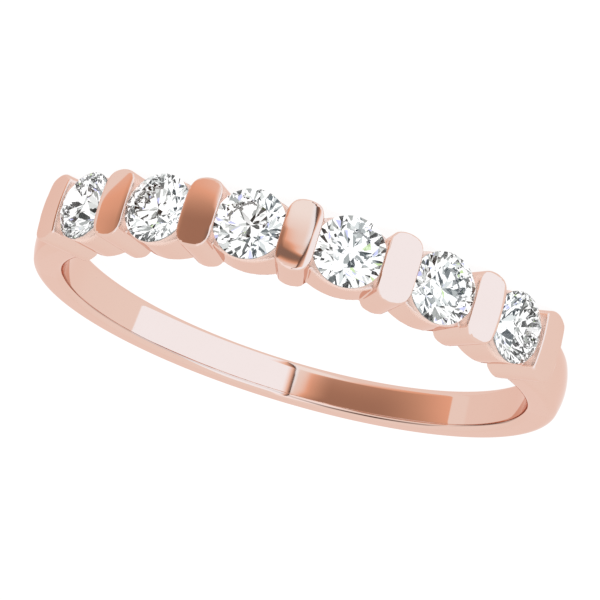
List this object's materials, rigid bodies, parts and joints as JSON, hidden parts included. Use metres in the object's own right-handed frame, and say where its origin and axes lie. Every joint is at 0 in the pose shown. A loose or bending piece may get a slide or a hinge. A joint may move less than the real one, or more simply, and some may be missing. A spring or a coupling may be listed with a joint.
{
  "type": "bar set band",
  "caption": "Finger ring with a row of round brilliant cut stones, each held between upright pillow-topped bars above two bowed gallery rails, on a tapering shank.",
  "frame": {"origin": "centre of the finger hole, half way along it", "axes": "+Z along the finger hole, -Y from the hole's centre to the middle of the row of stones, +X towards stone_1"},
  "size_m": [0.0188, 0.0195, 0.0024],
  "materials": {
    "metal": "polished rose gold",
    "stone": "polished brilliant cut"
  },
  "bodies": {
    "root": {"band": "metal", "stone_1": "stone", "stone_2": "stone", "stone_3": "stone", "stone_4": "stone", "stone_5": "stone", "stone_6": "stone"}
  },
  "joints": []
}
